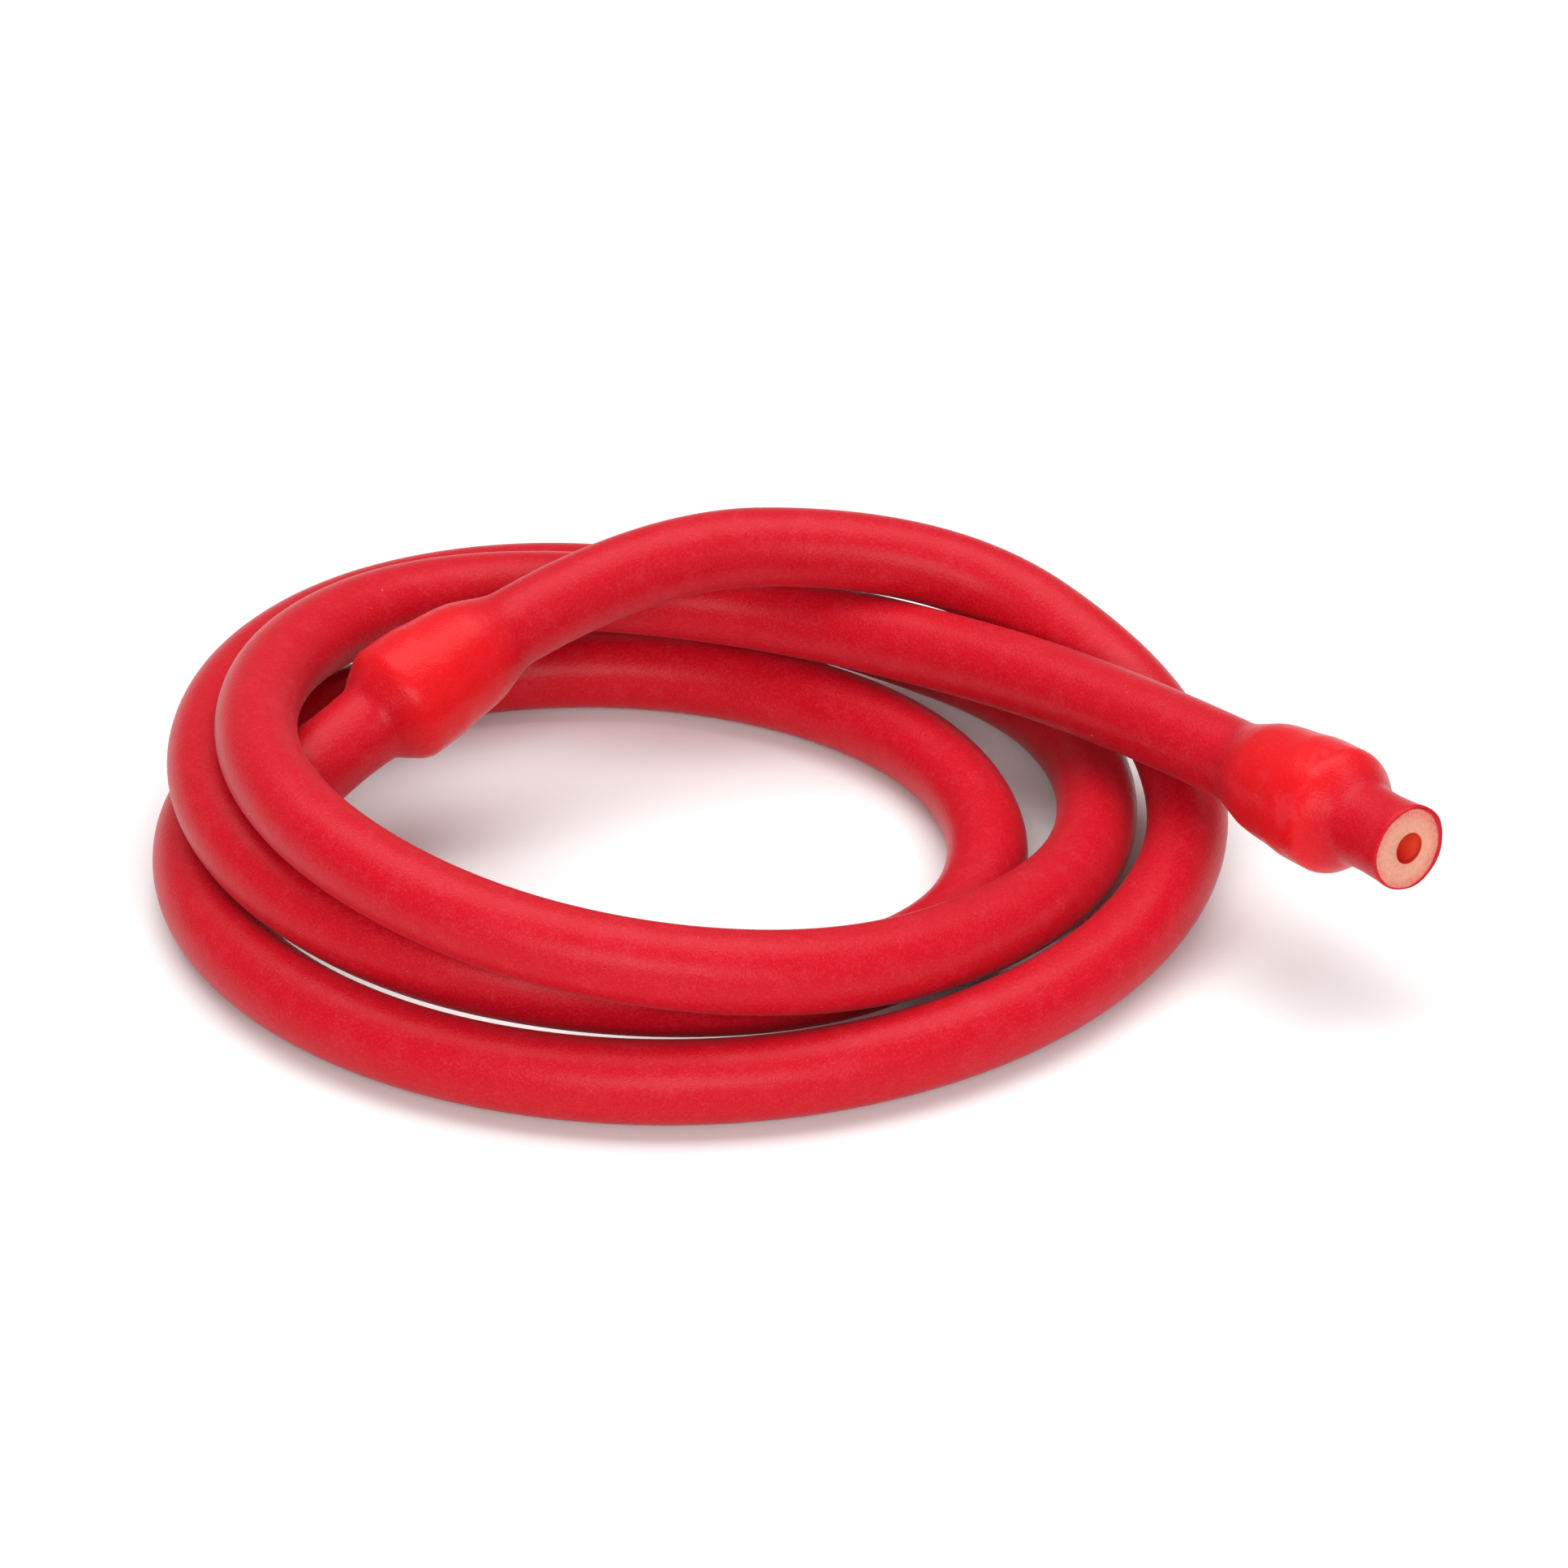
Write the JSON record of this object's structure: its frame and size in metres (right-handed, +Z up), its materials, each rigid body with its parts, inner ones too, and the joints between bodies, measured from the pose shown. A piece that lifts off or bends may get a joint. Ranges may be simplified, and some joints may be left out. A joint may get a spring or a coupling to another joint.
{
  "type": "resistance tube",
  "caption": "Stretchy latex exercise tube lying in loose turns, swollen over a plug near each open end.",
  "frame": {"origin": "on the floor, under the middle of the coil's bounding box", "axes": "+Z up; the free end leaves towards +X and -Y, and the tucked end lies inside the coil on the -X side"},
  "size_m": [0.1973, 0.1482, 0.0418],
  "materials": {
    "red_latex": "satin, with a fine powdery grain",
    "cream_latex": "matte",
    "plug_plastic": "matte"
  },
  "bodies": {
    "root": {"outer_skin": "red_latex", "latex_core": "cream_latex", "tucked_end_plug": "plug_plastic", "free_end_plug": "plug_plastic"}
  },
  "joints": []
}
